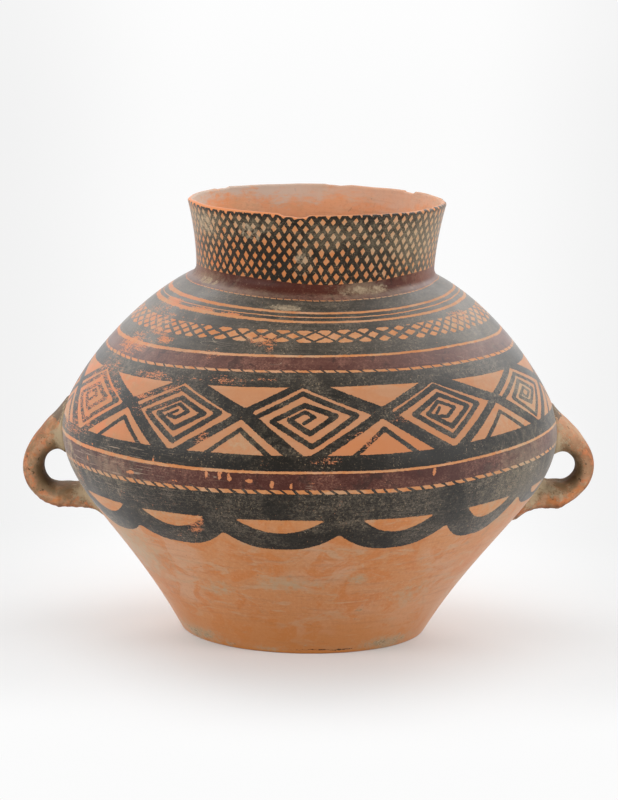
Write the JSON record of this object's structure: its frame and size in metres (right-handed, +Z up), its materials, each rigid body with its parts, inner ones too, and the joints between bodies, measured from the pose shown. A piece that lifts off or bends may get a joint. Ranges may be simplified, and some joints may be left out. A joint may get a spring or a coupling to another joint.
{
  "type": "storage jar",
  "caption": "Round-bodied painted earthenware storage jar with a wide upright neck, a small flat base and a loop handle on each side below its widest part.",
  "frame": {"origin": "centre of the flat underside of the base, on the surface that the jar stands on", "axes": "+Z up along the jar's axis, +X towards the right-hand handle as seen from the front, -Y towards the viewer in front"},
  "size_m": [0.4491, 0.389, 0.34],
  "materials": {
    "bare_clay": "matt low-fired orange earthenware, smoothed by hand",
    "painted_clay": "burnished earthenware painted in charcoal black and dark maroon on orange clay, worn",
    "handle_clay": "matt orange-brown earthenware with soil stains"
  },
  "bodies": {
    "root": {"base_slab": "bare_clay", "lower_wall": "painted_clay", "upper_wall": "painted_clay", "neck_collar": "painted_clay", "handle_left": "handle_clay", "handle_right": "handle_clay"}
  },
  "joints": []
}
